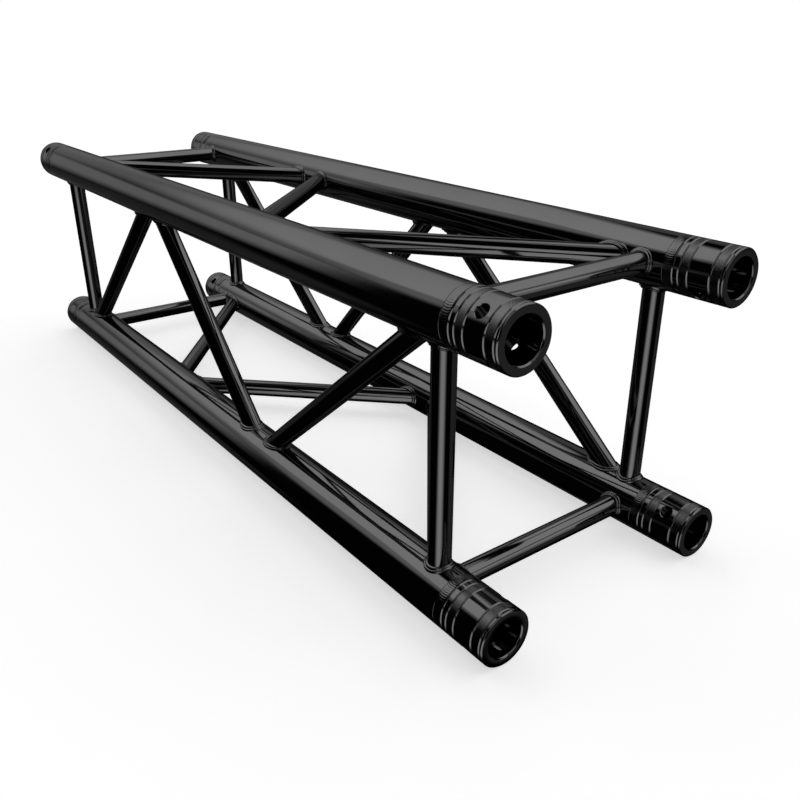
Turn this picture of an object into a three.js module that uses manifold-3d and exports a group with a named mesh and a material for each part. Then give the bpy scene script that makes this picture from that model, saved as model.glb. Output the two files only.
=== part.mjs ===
// A 1 m section of square lighting truss. Four main chord tubes run along its corners, straight and
// diagonal braces join them on all four faces, and each chord end holds a conical-coupler receiver,
// with a weld round the joint. The section looks the same after each quarter turn about its length.
//
// Millimetres. +X runs along the section and +Z is up. The origin is under the section's middle, on
// the surface that its two lower chords lie on.
import * as THREE from "three";
import { mergeVertices } from "three/addons/utils/BufferGeometryUtils.js";
import Module from "manifold-3d";

const wasm = await Module();
wasm.setup();

// The section
const SECTION_LENGTH = 1000;
const CHORD_SPACING = 240; // between neighbouring chords' centre lines
const CHORD_RADIUS = 25;
const CHORD_WALL = 2;
const BRACE_RADIUS = 10;
const BRACE_WALL = 2;
const STRAIGHT_BRACE_INSET = 80; // from the section's end to a straight brace's centre line
const MIDDLE_NODE_X = 120; // from the section's middle to where two diagonals meet on a chord
const FIT_GAP = 0.3; // between pieces that are welded or plugged together

// A receiver, measured back from its end face
const OUTER_CHAMFER = 1;
const MOUTH_RADIUS = 18;
const MOUTH_CHAMFER = 1.5;
const SOCKET_DEPTH = 50; // the length of the taper that grips a coupler
const SOCKET_END_RADIUS = 13.7;
const GROOVE_PLACES = [3.3, 12.5, 32.9, 41.7];
const GROOVE_HALF_WIDTH = 0.8;
const GROOVE_DEPTH = 0.8;
const BODY_LENGTH = 48.7;
const PLUG_END = 72;
const PLUG_LEAD_IN = 0.5; // how far the plug's far end is turned down
const PIN_HOLE_PLACE = 23;
const PIN_HOLE_RADIUS = 5.5;

// The weld that fills the space between a receiver's shoulder and its chord tube
const END_WELD_WIDTH = 8;
const END_WELD_EDGE = 1.6;
const END_WELD_FALL = 0.6;

// Flat sides on the round pieces: multiples of four, so that a piece is as wide as it is high
const CHORD_SIDES = 20;
const BRACE_SIDES = 16;
const PIN_HOLE_SIDES = 12;

const HALF_LENGTH = SECTION_LENGTH / 2;
const HALF_SPACING = CHORD_SPACING / 2;
const TUBE_INNER_RADIUS = CHORD_RADIUS - CHORD_WALL;
const END_WELD_START = BODY_LENGTH + FIT_GAP;
const CHORD_HALF_LENGTH = HALF_LENGTH - END_WELD_START - END_WELD_WIDTH - FIT_GAP;
const STRAIGHT_BRACE_X = HALF_LENGTH - STRAIGHT_BRACE_INSET;

const SATIN_BLACK = { color: 0x1d1d1e, roughness: 0.34, metalness: 0.1 };
const TURNED_BLACK = { color: 0x1b1b1c, roughness: 0.3, metalness: 0.15 };
const WELD_BLACK = { color: 0x1e1e1e, roughness: 0.45, metalness: 0.1 };

// A ring turned about the X axis. The outline is a list of [place along X, radius] that goes
// towards +X on the outside and comes back on the inside.
function turnedRing(outline, sides) {
  const profile = outline.map(([along, radius]) => new THREE.Vector2(radius, along));
  profile.push(profile[0].clone());
  return new THREE.LatheGeometry(profile, sides).rotateZ(-Math.PI / 2);
}

function tube(start, end, outerRadius, innerRadius, sides) {
  const outline = [
    [start, outerRadius],
    [end, outerRadius],
    [end, innerRadius],
    [start, innerRadius],
  ];
  return turnedRing(outline, sides);
}

// A round bar that lies along X, its middle at the origin.
function bar(length, radius, sides) {
  return new THREE.CylinderGeometry(radius, radius, length, sides).rotateZ(-Math.PI / 2);
}

function solidFrom(geometry) {
  const bare = geometry.clone();
  bare.deleteAttribute("normal");
  bare.deleteAttribute("uv");
  const merged = mergeVertices(bare);
  const mesh = new wasm.Mesh({
    numProp: 3,
    vertProperties: new Float32Array(merged.attributes.position.array),
    triVerts: new Uint32Array(merged.index.array),
  });
  return new wasm.Manifold(mesh);
}

function geometryFrom(solid) {
  const mesh = solid.getMesh();
  const geometry = new THREE.BufferGeometry();
  geometry.setAttribute("position", new THREE.BufferAttribute(mesh.vertProperties, 3));
  geometry.setIndex(new THREE.BufferAttribute(mesh.triVerts, 1));
  const faceted = geometry.toNonIndexed();
  faceted.computeVertexNormals();
  return faceted;
}

function piece(name, geometry, finish) {
  const mesh = new THREE.Mesh(geometry, new THREE.MeshStandardMaterial(finish));
  mesh.name = name;
  return mesh;
}

// A receiver's outline from its plug to its end face, which is at X = 0, and back along its bore.
function receiverOutline() {
  const shoulderRadius = CHORD_RADIUS - END_WELD_FALL;
  const plugRadius = TUBE_INNER_RADIUS - FIT_GAP;
  const grooves = [...GROOVE_PLACES].reverse().flatMap((place) => [
    [-place - GROOVE_HALF_WIDTH, CHORD_RADIUS],
    [-place, CHORD_RADIUS - GROOVE_DEPTH],
    [-place + GROOVE_HALF_WIDTH, CHORD_RADIUS],
  ]);
  return [
    [-PLUG_END, plugRadius - PLUG_LEAD_IN],
    [-BODY_LENGTH, plugRadius],
    [-BODY_LENGTH, shoulderRadius],
    [-BODY_LENGTH + END_WELD_EDGE, CHORD_RADIUS],
    ...grooves,
    [-OUTER_CHAMFER, CHORD_RADIUS],
    [0, CHORD_RADIUS - OUTER_CHAMFER],
    [0, MOUTH_RADIUS],
    [-MOUTH_CHAMFER, MOUTH_RADIUS - MOUTH_CHAMFER],
    [-SOCKET_DEPTH, SOCKET_END_RADIUS],
    [-PLUG_END, SOCKET_END_RADIUS],
  ];
}

// The hole for the taper pin crosses the receiver along the section's diagonal, through both walls.
function receiverGeometry() {
  const body = solidFrom(turnedRing(receiverOutline(), CHORD_SIDES));
  const drill = bar(3 * CHORD_RADIUS, PIN_HOLE_RADIUS, PIN_HOLE_SIDES)
    .rotateZ(Math.PI / 2)
    .rotateX(-Math.PI / 4)
    .translate(-PIN_HOLE_PLACE, 0, 0);
  return geometryFrom(body.subtract(solidFrom(drill)));
}

function endWeldGeometry() {
  const start = -END_WELD_START - END_WELD_WIDTH;
  const end = -END_WELD_START;
  const edgeRadius = CHORD_RADIUS - END_WELD_FALL;
  const outline = [
    [start, edgeRadius],
    [start + END_WELD_EDGE, CHORD_RADIUS],
    [end - END_WELD_EDGE, CHORD_RADIUS],
    [end, edgeRadius],
    [end, TUBE_INNER_RADIUS],
    [start, TUBE_INNER_RADIUS],
  ];
  return turnedRing(outline, CHORD_SIDES);
}

// A brace in the plane of one face, from the left chord's centre line to the right chord's, each
// end coped to fit round its chord.
function braceGeometry(leftX, rightX, chordCutter) {
  const run = rightX - leftX;
  const length = Math.hypot(run, CHORD_SPACING);
  const raw = tube(0, length, BRACE_RADIUS, BRACE_RADIUS - BRACE_WALL, BRACE_SIDES)
    .rotateZ(Math.atan2(CHORD_SPACING, run))
    .translate(leftX, -HALF_SPACING, 0);
  const leftChord = chordCutter.translate([0, -HALF_SPACING, 0]);
  const rightChord = chordCutter.translate([0, HALF_SPACING, 0]);
  return geometryFrom(solidFrom(raw).subtract(leftChord).subtract(rightChord));
}

// The five braces of one face: each runs between these places on the left and the right chord.
const BRACES = [
  ["straight_rear", -STRAIGHT_BRACE_X, -STRAIGHT_BRACE_X],
  ["diagonal_rear", -STRAIGHT_BRACE_X, -MIDDLE_NODE_X],
  ["diagonal_middle", MIDDLE_NODE_X, -MIDDLE_NODE_X],
  ["diagonal_front", MIDDLE_NODE_X, STRAIGHT_BRACE_X],
  ["straight_front", STRAIGHT_BRACE_X, STRAIGHT_BRACE_X],
];

const chordCutter = solidFrom(bar(SECTION_LENGTH, CHORD_RADIUS + FIT_GAP, CHORD_SIDES));
const shapes = {
  chord: tube(-CHORD_HALF_LENGTH, CHORD_HALF_LENGTH, CHORD_RADIUS, TUBE_INNER_RADIUS, CHORD_SIDES),
  receiver: receiverGeometry(),
  endWeld: endWeldGeometry(),
  braces: BRACES.map(([, leftX, rightX]) => braceGeometry(leftX, rightX, chordCutter)),
};

// What sits at one end of a chord. The rear end is the front end turned half round about the
// section's diagonal, which keeps the pin hole where it is.
function chordEnd(corner, end) {
  const group = new THREE.Group();
  const receiver = piece(`receiver_${corner}_${end}`, shapes.receiver, TURNED_BLACK);
  const weld = piece(`end_weld_${corner}_${end}`, shapes.endWeld, WELD_BLACK);
  receiver.position.x = HALF_LENGTH;
  weld.position.x = HALF_LENGTH;
  group.add(receiver, weld);
  if (end === "rear") {
    const diagonal = new THREE.Vector3(0, -1, 1).normalize();
    group.quaternion.setFromAxisAngle(diagonal, Math.PI);
  }
  return group;
}

// One chord with all that it carries, and the braces of the face from it to the next chord. It is
// built as the upper left chord and the top face, about the section's own axis.
function quarter(corner, face) {
  const chord = new THREE.Group();
  chord.add(piece(`chord_${corner}`, shapes.chord, SATIN_BLACK));
  chord.add(chordEnd(corner, "front"), chordEnd(corner, "rear"));
  chord.position.set(0, -HALF_SPACING, HALF_SPACING);

  const bracing = new THREE.Group();
  BRACES.forEach(([kind], index) => {
    bracing.add(piece(`brace_${face}_${kind}`, shapes.braces[index], SATIN_BLACK));
  });
  bracing.position.z = HALF_SPACING;

  const group = new THREE.Group();
  group.add(chord, bracing);
  return group;
}

const QUARTERS = [
  ["upper_left", "top"],
  ["upper_right", "right"],
  ["lower_right", "bottom"],
  ["lower_left", "left"],
];

const truss = new THREE.Group();
QUARTERS.forEach(([corner, face], index) => {
  const group = quarter(corner, face);
  group.rotation.x = (-index * Math.PI) / 2;
  truss.add(group);
});
truss.position.z = HALF_SPACING + CHORD_RADIUS;

const section = new THREE.Group();
section.add(truss);

export default section;
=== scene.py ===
"""A 1 m section of black square lighting truss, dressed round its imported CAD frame."""

import math

import bpy
import numpy as np
from mathutils import Matrix, Vector


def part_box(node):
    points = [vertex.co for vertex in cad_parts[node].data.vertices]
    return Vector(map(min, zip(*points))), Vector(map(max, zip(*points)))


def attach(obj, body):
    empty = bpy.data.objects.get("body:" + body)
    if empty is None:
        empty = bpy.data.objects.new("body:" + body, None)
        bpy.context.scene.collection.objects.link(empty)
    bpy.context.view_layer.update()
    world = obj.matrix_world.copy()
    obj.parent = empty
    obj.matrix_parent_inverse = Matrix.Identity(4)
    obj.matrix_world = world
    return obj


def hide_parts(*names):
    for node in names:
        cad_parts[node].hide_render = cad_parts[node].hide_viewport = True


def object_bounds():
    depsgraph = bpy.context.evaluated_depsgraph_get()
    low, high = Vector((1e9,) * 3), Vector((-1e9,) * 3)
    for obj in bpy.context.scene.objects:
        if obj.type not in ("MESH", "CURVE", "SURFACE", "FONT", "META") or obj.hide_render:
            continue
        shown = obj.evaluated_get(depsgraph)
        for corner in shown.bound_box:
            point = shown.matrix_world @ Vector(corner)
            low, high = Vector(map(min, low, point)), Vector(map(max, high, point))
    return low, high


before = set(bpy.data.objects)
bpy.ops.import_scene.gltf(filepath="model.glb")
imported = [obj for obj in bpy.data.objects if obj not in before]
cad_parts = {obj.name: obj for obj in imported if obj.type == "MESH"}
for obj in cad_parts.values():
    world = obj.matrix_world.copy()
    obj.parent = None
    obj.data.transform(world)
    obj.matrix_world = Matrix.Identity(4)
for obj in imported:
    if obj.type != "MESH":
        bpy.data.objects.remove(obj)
cad_low, cad_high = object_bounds()

MM = 0.001

# The camera: where it stands, in metres, which way it looks, in degrees, its lens and its sensor,
# in millimetres, its shift, in picture widths, and the nearest and farthest that it sees, in metres
CAMERA_PLACE = (0.8452, -0.4783, 0.4448)
CAMERA_YAW = 37.30
CAMERA_PITCH = 24.47
CAMERA_ROLL = 0.11
CAMERA_LENS = 36.93
CAMERA_SHIFT = (-0.0078, 0.0044)
SENSOR_WIDTH = 36
CAMERA_CLIP = (0.01, 200)

# What the CAD nodes are named after, once round the section and from end to end
CORNERS = ("upper_left", "upper_right", "lower_right", "lower_left")
FACES = ("top", "right", "bottom", "left")
ENDS = ("front", "rear")

# The section, in millimetres, measured on the CAD nodes
chord_low, chord_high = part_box("chord_upper_left")
weld_low, weld_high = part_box("end_weld_upper_left_front")
brace_low, brace_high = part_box("brace_top_straight_front")
HALF_LENGTH = cad_high.x / MM
CHORD_RADIUS = (chord_high.z - chord_low.z) / 2 / MM
CHORD_HALF_LENGTH = chord_high.x / MM
AXIS_HEIGHT = (cad_high.z + cad_low.z) / 2 / MM
HALF_SPACING = AXIS_HEIGHT - CHORD_RADIUS
BRACE_RADIUS = (brace_high.z - brace_low.z) / 2 / MM
END_NODE_X = (brace_high.x + brace_low.x) / 2 / MM

# What the nodes' boxes don't tell, in millimetres
MIDDLE_NODE_X = 120.0
TUBE_WALL = 2.0
TUBE_EDGE = 0.1
FIT_GAP = 0.3

# A receiver, in millimetres. Places are measured back from its end face
LAND_PLACE = 1.8  # on the plain land between the first groove and the chamfer
OUTER_CHAMFER = 1.0
OUTER_ROUNDING = 0.2
MOUTH_RADIUS = 18.2
MOUTH_CHAMFER = 1.1
MOUTH_ROUNDING = 0.25
SOCKET_DEPTH = 50.0
SOCKET_END_RADIUS = 13.7
GROOVES = (3.3, 12.5, 32.9, 41.7, 47.3)
GROOVE_HALF_WIDTH = 0.8
GROOVE_DEPTH = 0.8
GROOVE_ROUNDING = 0.2
KNURL_DEPTH = 0.14
KNURL_MARGIN = 0.1
KNURLED_BEFORE = (1, 3)  # the grooves with knurling between them and the groove before
BODY_END = 48.7
SHOULDER_FALL = 0.6
SHOULDER_CHAMFER = 0.3
PLUG_END = 72.0
PLUG_LEAD_IN = 0.5
PIN_HOLE_PLACE = 23.0
PIN_HOLE_RADIUS = 5.5
PIN_HOLE_CHAMFER = 0.55
CUTTER_LIFT = 1.0  # how far the chamfer's slope goes on outside the receiver
CUTTER_REACH = 3.0  # how far outside the receiver the cutter ends

# How finely the round shapes are made
RECEIVER_COLUMNS = 256
TUBE_COLUMNS = 160
BRACE_COLUMNS = 96
HOLE_COLUMNS = 64
RIPPLE_SAMPLES = 8
RING_ROWS = 13
FILLET_ROWS = 17
CORNER_STEPS = 3
SEAM_STEPS = 1440  # round the line where a brace meets a chord

# Edges sharper than this, in degrees, stay crisp
TUBE_CREASE = 30
RECEIVER_CREASE = 28
WELD_CREASE = 70

# Weld beads, in millimetres
FILLET_LEG = 3.3
FILLET_FULLNESS = 0.6  # as a share of the leg
FILLET_RIDGE = 0.5
FILLET_PITCH = 1.7
FILLET_RIPPLE = 0.09
FILLET_SINK = 0.05
FILLET_ROOT = 0.6
RING_PITCH = 2.0
RING_RIPPLE = 0.14
RING_CROWN = 0.1
RIPPLE_BOW = 0.55  # how far a ripple's ends are from its middle, in ripples


# ---------------------------------------------------------------------------------- meshes

def closed_mesh(name, points, knurled_rows=()):
    """A closed surface through points[row, column]: both the rows and the columns wrap round.

    The quads above a knurled row are split along the ridge between their two highest corners, as
    measured from the X axis.
    """
    rows, columns = points.shape[:2]
    index = np.arange(rows * columns).reshape(rows, columns)
    height = np.hypot(points[..., 1], points[..., 2]).ravel()
    faces = []
    for row in range(rows):
        here = index[row]
        above = index[(row + 1) % rows]
        quads = np.stack([here, np.roll(here, -1), np.roll(above, -1), above], axis=1)
        if row not in knurled_rows:
            faces.extend(quads.tolist())
            continue
        for a, b, c, d in quads.tolist():
            if height[a] > height[b]:
                faces.extend([(a, b, c), (a, c, d)])
            else:
                faces.extend([(a, b, d), (b, c, d)])
    return finished_mesh(name, points.reshape(-1, 3), faces)


def capped_mesh(name, points):
    """A solid through points[row, column]: the columns wrap round, the first and last row are ends."""
    index = np.arange(points.shape[0] * points.shape[1]).reshape(points.shape[:2])
    faces = [index[0][::-1].tolist(), index[-1].tolist()]
    for here, above in zip(index[:-1], index[1:]):
        quads = np.stack([here, np.roll(here, -1), np.roll(above, -1), above], axis=1)
        faces.extend(quads.tolist())
    return finished_mesh(name, points.reshape(-1, 3), faces)


def finished_mesh(name, points, faces):
    """A mesh in metres from points in millimetres, its faces turned outwards."""
    mesh = bpy.data.meshes.new(name)
    mesh.from_pydata((points * MM).tolist(), [], faces)
    mesh.update()
    volume = sum(p.area * p.center.dot(p.normal) for p in mesh.polygons)
    if volume < 0:
        mesh.flip_normals()
    return mesh


def soften(mesh, sharp_angle):
    """Smooth shading, with the edges sharper than the angle, in degrees, left crisp."""
    mesh.shade_smooth()
    mesh.set_sharp_from_angle(angle=math.radians(sharp_angle))
    return mesh


def revolve(rows_x, rows_radius, columns):
    """Points of rings about X; a row's radius is one number or one number for each column."""
    angles = np.arange(columns) * 2 * math.pi / columns
    rings = []
    for x, radius in zip(rows_x, rows_radius):
        place = np.full(columns, x)
        rings.append(np.stack([place, radius * np.cos(angles), radius * np.sin(angles)], axis=1))
    return np.array(rings)


def rounded(outline):
    """An open outline of (place, radius, rounding): each corner becomes a short curve."""
    points = []
    for number, (x, r, size) in enumerate(outline):
        corner = np.array([x, r])
        if not size or number in (0, len(outline) - 1):
            points.append(corner)
            continue
        before = np.array(outline[number - 1][:2]) - corner
        after = np.array(outline[number + 1][:2]) - corner
        start = corner + before / np.linalg.norm(before) * size
        end = corner + after / np.linalg.norm(after) * size
        for t in np.linspace(0, 1, CORNER_STEPS + 1):
            points.append((1 - t) ** 2 * start + 2 * t * (1 - t) * corner + t * t * end)
    return points


def scallop(phase):
    """A weld's ripple: round-topped waves from 0 to 1 that meet in sharp valleys."""
    part = phase - np.floor(phase)
    return 1 - (2 * part - 1) ** 2


# ---------------------------------------------------------------------------------- shapes

def chord_mesh():
    """A chord tube along X, its middle at the origin, with its end edges just broken."""
    inner = CHORD_RADIUS - TUBE_WALL
    half = CHORD_HALF_LENGTH
    outline = [
        (-half, CHORD_RADIUS - TUBE_EDGE),
        (-half + TUBE_EDGE, CHORD_RADIUS),
        (half - TUBE_EDGE, CHORD_RADIUS),
        (half, CHORD_RADIUS - TUBE_EDGE),
        (half, inner),
        (-half, inner),
    ]
    points = revolve([p[0] for p in outline], [p[1] for p in outline], TUBE_COLUMNS)
    return soften(closed_mesh("chord_tube", points), TUBE_CREASE)


def groove_outline(place):
    """A groove with sloping walls and a rounded bottom, from its far lip to its near lip."""
    corners = [
        (-place - GROOVE_HALF_WIDTH, CHORD_RADIUS, 0),
        (-place, CHORD_RADIUS - GROOVE_DEPTH, GROOVE_ROUNDING),
        (-place + GROOVE_HALF_WIDTH, CHORD_RADIUS, 0),
    ]
    return [tuple(p) for p in rounded(corners)]


def knurl_rows(far, near):
    """Rows of a diamond knurl between two distances back from the end face."""
    pitch = 2 * math.pi * CHORD_RADIUS / RECEIVER_COLUMNS
    count = int((far - near - 2 * KNURL_MARGIN) / pitch)
    start = -(far + near) / 2 - count * pitch / 2
    columns = np.arange(RECEIVER_COLUMNS)
    rows = []
    for row in range(count + 1):
        low = (row + columns) % 2
        rows.append((start + row * pitch, CHORD_RADIUS - KNURL_DEPTH * low))
    return rows


def receiver_mesh():
    """A receiver, still undrilled, with its end face at X = 0 and its plug towards -X."""
    plug_radius = CHORD_RADIUS - TUBE_WALL - FIT_GAP
    shoulder_radius = CHORD_RADIUS - SHOULDER_FALL
    rows = [
        (-PLUG_END, plug_radius - PLUG_LEAD_IN),
        (-PLUG_END + PLUG_LEAD_IN, plug_radius),
        (-BODY_END, plug_radius),
        (-BODY_END, shoulder_radius),
        (-BODY_END + SHOULDER_CHAMFER, shoulder_radius + SHOULDER_CHAMFER),
    ]
    knurled = []
    for number in reversed(range(len(GROOVES))):
        rows += groove_outline(GROOVES[number])
        if number in KNURLED_BEFORE:
            far = GROOVES[number] - GROOVE_HALF_WIDTH
            near = GROOVES[number - 1] + GROOVE_HALF_WIDTH
            band = knurl_rows(far, near)
            knurled += range(len(rows), len(rows) + len(band) - 1)
            rows += band
    face = [
        (-LAND_PLACE, CHORD_RADIUS, 0),
        (-OUTER_CHAMFER, CHORD_RADIUS, OUTER_ROUNDING),
        (0, CHORD_RADIUS - OUTER_CHAMFER, OUTER_ROUNDING),
        (0, MOUTH_RADIUS, MOUTH_ROUNDING),
        (-MOUTH_CHAMFER, MOUTH_RADIUS - MOUTH_CHAMFER, MOUTH_ROUNDING),
        (-SOCKET_DEPTH, SOCKET_END_RADIUS, 0),
        (-PLUG_END, SOCKET_END_RADIUS, 0),
    ]
    rows += [tuple(point) for point in rounded(face)]
    points = revolve([row[0] for row in rows], [row[1] for row in rows], RECEIVER_COLUMNS)
    return closed_mesh("receiver", points, set(knurled))


def pin_hole_cutter():
    """A drill along Z that goes through both walls of a receiver, whose centre line is X, and
    breaks the edge where it comes out by the same amount all round."""
    angles = np.arange(HOLE_COLUMNS) * 2 * math.pi / HOLE_COLUMNS
    rings = []
    for end in (-1, 1):
        wide = PIN_HOLE_RADIUS + PIN_HOLE_CHAMFER + CUTTER_LIFT
        steps = [(wide, None), (wide, CUTTER_LIFT), (PIN_HOLE_RADIUS, -PIN_HOLE_CHAMFER)]
        for radius, height in steps[::-end]:
            surface = np.sqrt(CHORD_RADIUS**2 - (radius * np.sin(angles)) ** 2)
            if height is None:
                z = np.full(HOLE_COLUMNS, CHORD_RADIUS + CUTTER_REACH)
            else:
                z = surface + height
            rings.append(np.stack([radius * np.cos(angles), radius * np.sin(angles), end * z], axis=1))
    return capped_mesh("pin_hole_cutter", np.array(rings))


def drilled_receiver():
    """The receiver's mesh with the pin hole cut along the section's diagonal."""
    body = bpy.data.objects.new("receiver_blank", receiver_mesh())
    drill = bpy.data.objects.new("pin_hole_drill", pin_hole_cutter())
    for item in (body, drill):
        bpy.context.scene.collection.objects.link(item)
    diagonal = Matrix.Rotation(math.pi / 4, 4, "X")
    drill.matrix_world = Matrix.Translation((-PIN_HOLE_PLACE * MM, 0, 0)) @ diagonal
    cut = body.modifiers.new("pin_hole", "BOOLEAN")
    cut.object = drill
    cut.operation = "DIFFERENCE"
    cut.solver = "EXACT"
    graph = bpy.context.evaluated_depsgraph_get()
    mesh = bpy.data.meshes.new_from_object(body.evaluated_get(graph))
    mesh.name = "receiver_drilled"
    bpy.data.objects.remove(body)
    bpy.data.objects.remove(drill)
    return soften(mesh, RECEIVER_CREASE)


def ring_weld_mesh():
    """The bead between a receiver and its chord tube, centred on X = 0."""
    half_width = (weld_high.x - weld_low.x) / 2 / MM
    floor_radius = CHORD_RADIUS - TUBE_WALL
    ripples = round(2 * math.pi * CHORD_RADIUS / RING_PITCH)
    columns = ripples * RIPPLE_SAMPLES
    across = np.linspace(-1, 1, RING_ROWS)
    turn = np.arange(columns) / columns
    rows_x, rows_radius = [], []
    for place in across:
        crown = RING_CROWN * place**4
        ripple = scallop(turn * ripples + RIPPLE_BOW * place**2)
        fade = 1 - place**6
        rows_x.append(place * half_width)
        rows_radius.append(CHORD_RADIUS - crown - RING_RIPPLE * fade * (1 - ripple))
    for place in (half_width, -half_width):
        rows_x.append(place)
        rows_radius.append(floor_radius)
    return soften(closed_mesh("ring_weld", revolve(rows_x, rows_radius, columns)), WELD_CREASE)


class Joint:
    """Where a brace meets a chord, in a face's own plane: the chord's centre line runs along X."""

    def __init__(self, start, finish):
        self.anchor = np.array([start[0], start[1], 0.0])
        span = np.array([finish[0] - start[0], finish[1] - start[1], 0.0])
        self.length = np.linalg.norm(span)
        self.away = span / self.length
        self.up = np.array([0.0, 0.0, 1.0])
        self.side = np.cross(self.up, self.away)

    def around(self, angles):
        """Unit vectors from the brace's centre line to its surface."""
        return np.outer(np.cos(angles), self.side) + np.outer(np.sin(angles), self.up)

    def reach(self, angles, radius):
        """How far along the brace a line on a tube of that radius meets the chord's surface."""
        offset = radius * self.around(angles)
        depth = np.sqrt(CHORD_RADIUS**2 - offset[:, 2] ** 2)
        return (np.sign(self.away[1]) * depth - offset[:, 1]) / self.away[1]

    def meeting(self, angles):
        """Points of the saddle-shaped line where the brace's surface meets the chord's."""
        along = self.reach(angles, BRACE_RADIUS)
        return self.anchor + np.outer(along, self.away) + BRACE_RADIUS * self.around(angles)

    def seam(self):
        """Angles all the way round, and how far along the saddle-shaped line each one is."""
        angles = np.linspace(0, 2 * math.pi, SEAM_STEPS + 1)
        steps = np.linalg.norm(np.diff(self.meeting(angles), axis=0), axis=1)
        return angles, np.concatenate([[0], np.cumsum(steps)])


def unit(vectors):
    return vectors / np.linalg.norm(vectors, axis=1, keepdims=True)


def brace_mesh(name, start, finish):
    """A brace in a face's plane, coped at both ends, moved so that it runs along +X from 0."""
    near, far = Joint(start, finish), Joint(finish, start)
    angles = np.arange(BRACE_COLUMNS) * 2 * math.pi / BRACE_COLUMNS
    rows = []
    for radius, ends in ((BRACE_RADIUS, (0, 1)), (BRACE_RADIUS - TUBE_WALL, (1, 0))):
        around = radius * near.around(angles)
        low = near.reach(angles, radius)
        high = near.length - far.reach(math.pi - angles, radius)
        for end in ends:
            along = high if end else low
            rows.append(np.stack([along, around @ near.side, around @ near.up], axis=1))
    return soften(closed_mesh(name, np.array(rows)), TUBE_CREASE)


def fillet_mesh(name, start, finish):
    """The weld bead round the end of a brace that leaves the chord at start."""
    joint = Joint(start, finish)
    seam_angles, run = joint.seam()
    ripples = round(run[-1] / FILLET_PITCH)
    columns = ripples * RIPPLE_SAMPLES
    angles = np.interp(np.arange(columns) * run[-1] / columns, run, seam_angles)
    root = joint.meeting(angles)
    chord_normal = unit((root - joint.anchor) * (0, 1, 1))
    brace_normal = joint.around(angles)
    overlap = np.sum(chord_normal * brace_normal, axis=1, keepdims=True)
    along_chord = unit(brace_normal - overlap * chord_normal)
    along_brace = unit(chord_normal - overlap * brace_normal)

    chord_toe = root + FILLET_LEG * along_chord
    radial = unit((chord_toe - joint.anchor) * (0, 1, 1))
    chord_toe[:, 1:] = joint.anchor[1:] + radial[:, 1:] * (CHORD_RADIUS - FILLET_SINK)
    brace_toe = root + FILLET_LEG * along_brace - FILLET_SINK * brace_normal
    crown = root + FILLET_FULLNESS * FILLET_LEG * (along_chord + along_brace)

    turn = np.arange(columns) / columns
    rows = []
    for t in np.linspace(0, 1, FILLET_ROWS):
        curve = (1 - t) ** 2 * chord_toe + 2 * t * (1 - t) * crown + t * t * brace_toe
        ripple = scallop(turn * ripples + RIPPLE_BOW * (2 * t - 1) ** 2)
        ridges = FILLET_RIDGE * abs(math.sin(2 * math.pi * t))
        rise = ridges - FILLET_RIPPLE * (1 - ripple) * math.sin(math.pi * t)
        rows.append(curve + unit(crown - root) * rise[:, None])
    rows.append(root - FILLET_ROOT * (chord_normal + brace_normal))
    return soften(closed_mesh(name, np.array(rows)), WELD_CREASE)


# ------------------------------------------------------------------------------- materials

COAT_TONE = (0.150, 0.150, 0.152)  # how much light the coating mirrors where it is seen straight on
EDGE_TONE = 0.55  # where it is only grazed, as a share of a plain metal's
TONE_SPREAD = 0.08
ROUGHNESS_SPREAD = 0.15
GRAIN_DEPTH = 0.004  # in millimetres
NOISE_LOW, NOISE_HIGH = 0.3, 0.7  # what most of a noise texture lies between

# How fine each texture is, in noise cells per metre
TONE_SCALE = 14
ROUGHNESS_SCALE = 55
GRAIN_SCALE = 1500
PEEL_SCALE = 420
TURNED_SCALE = 2500
DRAWN_SCALE = 700
DRAWN_SQUEEZE = 0.02  # how much slower drawn marks change along X than across it


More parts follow.
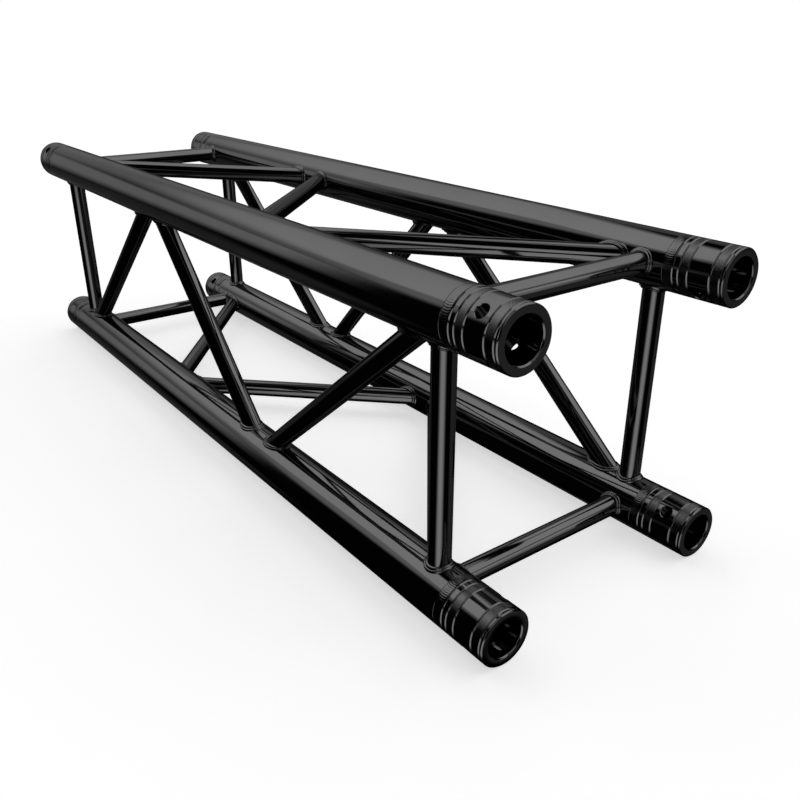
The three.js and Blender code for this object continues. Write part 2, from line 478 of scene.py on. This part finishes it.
def coat(name, roughness, peel, lines, turned=False):
    """A satin black coating on metal. peel is how deep its orange peel is, in millimetres, and
    lines how deep the maker's marks are: drawn along X, or turned round X."""
    material = bpy.data.materials.new(name)
    material.use_nodes = True
    nodes, links = material.node_tree.nodes, material.node_tree.links
    shader = nodes["Principled BSDF"]
    shader.inputs["Metallic"].default_value = 1.0
    shader.inputs["Specular Tint"].default_value = (EDGE_TONE, EDGE_TONE, EDGE_TONE, 1)
    place = nodes.new("ShaderNodeTexCoord").outputs["Object"]

    def vector_math(operation, first, second=None):
        node = nodes.new("ShaderNodeVectorMath")
        node.operation = operation
        links.new(first, node.inputs[0])
        if second:
            node.inputs[1].default_value = second
        return node

    def noise(vector, scale, detail=2):
        texture = nodes.new("ShaderNodeTexNoise")
        texture.inputs["Scale"].default_value = scale
        texture.inputs["Detail"].default_value = detail
        links.new(vector, texture.inputs["Vector"])
        return texture.outputs["Fac"]

    def spread(value, low, high):
        mapped = nodes.new("ShaderNodeMapRange")
        mapped.inputs["From Min"].default_value = NOISE_LOW
        mapped.inputs["From Max"].default_value = NOISE_HIGH
        mapped.inputs["To Min"].default_value = low
        mapped.inputs["To Max"].default_value = high
        links.new(value, mapped.inputs["Value"])
        return mapped.outputs["Result"]

    def bump(height, depth, under=None):
        node = nodes.new("ShaderNodeBump")
        node.inputs["Strength"].default_value = 1.0
        node.inputs["Distance"].default_value = depth * MM
        links.new(height, node.inputs["Height"])
        if under:
            links.new(under, node.inputs["Normal"])
        return node.outputs["Normal"]

    def marks_vector():
        """Coordinates that hardly change along a maker's mark."""
        if not turned:
            return vector_math("MULTIPLY", place, (DRAWN_SQUEEZE, 1, 1)).outputs["Vector"]
        axes = nodes.new("ShaderNodeSeparateXYZ")
        links.new(place, axes.inputs["Vector"])
        across = vector_math("MULTIPLY", place, (0, 1, 1)).outputs["Vector"]
        joined = nodes.new("ShaderNodeCombineXYZ")
        links.new(axes.outputs["X"], joined.inputs["X"])
        links.new(vector_math("LENGTH", across).outputs["Value"], joined.inputs["Y"])
        return joined.outputs["Vector"]

    tint = nodes.new("ShaderNodeMix")
    tint.data_type = "RGBA"
    tint.inputs["A"].default_value = (*[tone * (1 - TONE_SPREAD) for tone in COAT_TONE], 1)
    tint.inputs["B"].default_value = (*[tone * (1 + TONE_SPREAD) for tone in COAT_TONE], 1)
    links.new(noise(place, TONE_SCALE, detail=3), tint.inputs["Factor"])
    links.new(tint.outputs["Result"], shader.inputs["Base Color"])
    smoothest = roughness * (1 - ROUGHNESS_SPREAD)
    roughest = roughness * (1 + ROUGHNESS_SPREAD)
    wear = spread(noise(place, ROUGHNESS_SCALE, detail=4), smoothest, roughest)
    links.new(wear, shader.inputs["Roughness"])
    grain = bump(noise(place, GRAIN_SCALE), GRAIN_DEPTH)
    skin = bump(noise(place, PEEL_SCALE), peel, grain)
    marks_scale = TURNED_SCALE if turned else DRAWN_SCALE
    marks = bump(noise(marks_vector(), marks_scale), lines, skin)
    links.new(marks, shader.inputs["Normal"])
    return material


tube_coat = coat("satin_black_tube", roughness=0.07, peel=0.010, lines=0.0025)
receiver_coat = coat("satin_black_receiver", roughness=0.08, peel=0.006, lines=0.0012, turned=True)
weld_coat = coat("satin_black_weld", roughness=0.17, peel=0.016, lines=0.0)


# ------------------------------------------------------------------------------- assembly

def quarter_matrix(number):
    """Turns the upper left chord and the top face, built about the section's axis, into place."""
    lift = Matrix.Translation((0, 0, AXIS_HEIGHT * MM))
    return lift @ Matrix.Rotation(-number * math.pi / 2, 4, "X")


def corner_matrix(number):
    return quarter_matrix(number) @ Matrix.Translation((0, -HALF_SPACING * MM, HALF_SPACING * MM))


def add(name, mesh, matrix, material, slot, *nodes):
    """A piece that stands for CAD nodes, or for none, and moves with the one body."""
    piece = bpy.data.objects.new(name, mesh)
    bpy.context.scene.collection.objects.link(piece)
    piece.matrix_world = matrix
    if not mesh.materials:
        mesh.materials.append(material)
    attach(piece, "root")
    if nodes:
        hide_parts(*nodes)


def build_chords():
    tube = chord_mesh()
    receiver = drilled_receiver()
    bead = ring_weld_mesh()
    bead_x = (weld_low.x + weld_high.x) / 2
    half_turn = Matrix.Rotation(math.pi, 4, Vector((0, -1, 1)))
    for number, corner in enumerate(CORNERS):
        base = corner_matrix(number)
        add(f"tube_{corner}", tube, base, tube_coat, "tube_coat", f"chord_{corner}")
        for end in ENDS:
            turned = base if end == "front" else base @ half_turn
            at_face = turned @ Matrix.Translation((HALF_LENGTH * MM, 0, 0))
            at_bead = turned @ Matrix.Translation((bead_x, 0, 0))
            tag = f"{corner}_{end}"
            add(f"socket_{tag}", receiver, at_face, receiver_coat, "receiver_coat", f"receiver_{tag}")
            add(f"ring_bead_{tag}", bead, at_bead, weld_coat, "weld_coat", f"end_weld_{tag}")


BRACES = (
    ("straight_rear", -END_NODE_X, -END_NODE_X),
    ("diagonal_rear", -END_NODE_X, -MIDDLE_NODE_X),
    ("diagonal_middle", MIDDLE_NODE_X, -MIDDLE_NODE_X),
    ("diagonal_front", MIDDLE_NODE_X, END_NODE_X),
    ("straight_front", END_NODE_X, END_NODE_X),
)


def build_braces():
    for kind, left_x, right_x in BRACES:
        left, right = (left_x, -HALF_SPACING), (right_x, HALF_SPACING)
        tube = brace_mesh(f"brace_{kind}", left, right)
        beads = {
            "a": fillet_mesh(f"bead_{kind}_a", left, right),
            "b": fillet_mesh(f"bead_{kind}_b", right, left),
        }
        direction = math.atan2(right[1] - left[1], right[0] - left[0])
        at_left = Matrix.Translation((left[0] * MM, left[1] * MM, 0))
        for number, face in enumerate(FACES):
            plane = quarter_matrix(number) @ Matrix.Translation((0, 0, HALF_SPACING * MM))
            laid = plane @ at_left @ Matrix.Rotation(direction, 4, "Z")
            tag = f"{face}_{kind}"
            add(f"strut_{tag}", tube, laid, tube_coat, "tube_coat", f"brace_{tag}")
            for end, bead in beads.items():
                add(f"bead_{tag}_{end}", bead, plane, weld_coat, "weld_coat")


# --------------------------------------------------------------------- floor, light, camera

# The studio's light boxes, named after where the camera sees them: back is beyond the truss. Each
# has, as seen from the truss, the bearing where it starts and how much that edge leans, the bearing
# where it ends and how much that edge leans, how softly the two fade, the lowest elevation and its
# fade, the highest elevation and its fade, and the brightness. Angles are in degrees. Bearings grow
# from 0 at +X to 90 at +Y, and an edge with a positive lean goes to higher bearings as it rises.
# The last box is on the camera's side, which the camera hardly sees mirrored: it lights other views.
LIGHT_BOXES = {
    "overhead_box": (24, -0.10, 113, 0.24, 4, 25, 7, 82, 6, 1.0),
    "back_box": (126, 0.34, 200, 0.32, 4, 21, 9, 69, 3, 1.0),
    "back_high_box": (190, 0.34, 227, 0.0, 4, 36, 3, 62, 4, 1.0),
    "back_left_fill": (190, 0.32, 208, 0.50, 5, 14, 12, 42, 4, 0.5),
    "back_fill": (146, 0.0, 190, 0.0, 8, 8, 9, 40, 5, 0.5),
    "back_low_box": (186, 0.0, 214, 0.0, 5, -4, 8, 15, 3, 0.65),
    "right_low_fill": (85, 0.0, 165, 0.0, 6, 9, 6, 36, 5, 0.27),
    "right_strip": (27, 0.0, 52, 0.0, 4, 4, 4, 19, 4, 1.0),
    "right_strip_foot": (27, 0.0, 48, 0.0, 4, -9, 5, 7, 4, 0.6),
    "left_strip": (289, 0.0, 313, 0.0, 3, 2, 3, 30, 5, 1.0),
    "front_box": (299, 0.30, 334, 0.0, 14, -55, 8, -7, 6, 1.0),
    "front_floor_glow": (276, 0.0, 312, 0.0, 6, -66, 5, -50, 5, 0.26),
    "right_floor_glow": (32, 0.0, 115, 0.0, 8, -40, 3, -9, 6, 0.09),
    "back_floor_glow": (140, 0.0, 202, 0.0, 6, -36, 6, -8, 6, 0.08),
    "left_floor_strip": (250, 0.0, 272, 0.0, 4, -58, 2, -48, 2, 0.28),
    "camera_side_fill": (330, 0.0, 15, 0.0, 8, 18, 8, 62, 8, 0.4),
}

# Above the highest boxes: the elevation where it starts, its fade and its brightness
ZENITH_GLOW = (80, 5, 0.45)

# The brightness that the camera sees behind the truss, and that of the studio between the boxes
BACKDROP = 1.0
DARKNESS = 0.004

# The floor: half its width, in metres, its paint, and the light of its own that keeps it pale
FLOOR_HALF_SIZE = 60.0
FLOOR_TONE = 0.80
FLOOR_ROUGHNESS = 0.9
FLOOR_GLOW = 0.62


def build_world():
    """A dark studio whose light boxes only the truss and the floor see; the camera sees white."""
    world = bpy.data.worlds.new("studio")
    bpy.context.scene.world = world
    world.use_nodes = True
    nodes, links = world.node_tree.nodes, world.node_tree.links
    nodes.clear()

    def math_node(operation, *values):
        node = nodes.new("ShaderNodeMath")
        node.operation = operation
        for socket, value in zip(node.inputs, values):
            if isinstance(value, (int, float)):
                socket.default_value = value
            else:
                links.new(value, socket)
        return node.outputs["Value"]

    def ramp(value, middle, fade):
        """From 0 to 1 as the value, an angle in radians, climbs past the middle, in degrees."""
        node = nodes.new("ShaderNodeMapRange")
        node.interpolation_type = "SMOOTHSTEP"
        node.inputs["From Min"].default_value = math.radians(middle - fade)
        node.inputs["From Max"].default_value = math.radians(middle + fade)
        links.new(value, node.inputs["Value"])
        return node.outputs["Result"]

    direction = nodes.new("ShaderNodeTexCoord").outputs["Generated"]
    axes = nodes.new("ShaderNodeSeparateXYZ")
    links.new(direction, axes.inputs["Vector"])
    elevation = math_node("ARCSINE", axes.outputs["Z"])

    def past_edge(bearing, lean, turn):
        """How far a direction is past an edge, towards higher (turn 1) or lower (-1) bearings:
        near the edge and the horizon, it is the angle in radians."""
        angle = math.radians(bearing)
        node = nodes.new("ShaderNodeVectorMath")
        node.operation = "DOT_PRODUCT"
        node.inputs[1].default_value = (-turn * math.sin(angle), turn * math.cos(angle), -turn * lean)
        links.new(direction, node.inputs[0])
        return node.outputs["Value"]

    low, fade, brightness = ZENITH_GLOW
    glow = math_node("MULTIPLY", ramp(elevation, low, fade), brightness)
    light = math_node("MAXIMUM", glow, DARKNESS)
    for box in LIGHT_BOXES.values():
        start, start_lean, end, end_lean, side_fade, low, low_fade, high, high_fade, brightness = box
        edges = (
            ramp(past_edge(start, start_lean, 1), 0, side_fade),
            ramp(past_edge(end, end_lean, -1), 0, side_fade),
            ramp(elevation, low, low_fade),
            math_node("SUBTRACT", 1.0, ramp(elevation, high, high_fade)),
        )
        window = edges[0]
        for edge in edges[1:]:
            window = math_node("MULTIPLY", window, edge)
        light = math_node("MAXIMUM", light, math_node("MULTIPLY", window, brightness))

    studio = nodes.new("ShaderNodeBackground")
    links.new(light, studio.inputs["Strength"])
    studio.inputs["Color"].default_value = (1, 1, 1, 1)
    white = nodes.new("ShaderNodeBackground")
    white.inputs["Color"].default_value = (BACKDROP, BACKDROP, BACKDROP, 1)
    choice = nodes.new("ShaderNodeMixShader")
    links.new(nodes.new("ShaderNodeLightPath").outputs["Is Camera Ray"], choice.inputs["Fac"])
    links.new(studio.outputs["Background"], choice.inputs[1])
    links.new(white.outputs["Background"], choice.inputs[2])
    links.new(choice.outputs["Shader"], nodes.new("ShaderNodeOutputWorld").inputs["Surface"])


def build_floor():
    """A plain pale floor that is seen, and catches a soft shadow, but isn't mirrored in the truss."""
    mesh = bpy.data.meshes.new("floor")
    half = FLOOR_HALF_SIZE
    corners = [(-half, -half, 0), (half, -half, 0), (half, half, 0), (-half, half, 0)]
    mesh.from_pydata(corners, [], [(0, 1, 2, 3)])
    floor = bpy.data.objects.new("floor", mesh)
    bpy.context.scene.collection.objects.link(floor)
    floor.visible_glossy = False
    floor.visible_diffuse = False
    floor.visible_shadow = False
    paint = bpy.data.materials.new("pale_floor")
    paint.use_nodes = True
    shader = paint.node_tree.nodes["Principled BSDF"]
    shader.inputs["Base Color"].default_value = (FLOOR_TONE, FLOOR_TONE, FLOOR_TONE, 1)
    shader.inputs["Roughness"].default_value = FLOOR_ROUGHNESS
    shader.inputs["Specular IOR Level"].default_value = 0.0
    shader.inputs["Emission Color"].default_value = (1, 1, 1, 1)
    shader.inputs["Emission Strength"].default_value = FLOOR_GLOW
    mesh.materials.append(paint)


def build_camera():
    data = bpy.data.cameras.new("camera")
    data.lens = CAMERA_LENS
    data.sensor_width = SENSOR_WIDTH
    data.shift_x, data.shift_y = CAMERA_SHIFT
    data.clip_start, data.clip_end = CAMERA_CLIP
    camera = bpy.data.objects.new("camera", data)
    bpy.context.scene.collection.objects.link(camera)
    yaw, pitch = math.radians(CAMERA_YAW), math.radians(CAMERA_PITCH)
    ahead = Vector((-math.cos(yaw) * math.cos(pitch), math.sin(yaw) * math.cos(pitch), -math.sin(pitch)))
    aim = ahead.to_track_quat("-Z", "Y").to_matrix().to_4x4()
    roll = Matrix.Rotation(math.radians(CAMERA_ROLL), 4, "Z")
    camera.matrix_world = Matrix.Translation(CAMERA_PLACE) @ aim @ roll
    bpy.context.scene.camera = camera


build_chords()
build_braces()
build_world()
build_floor()
build_camera()
bpy.context.scene.view_settings.view_transform = "Standard"
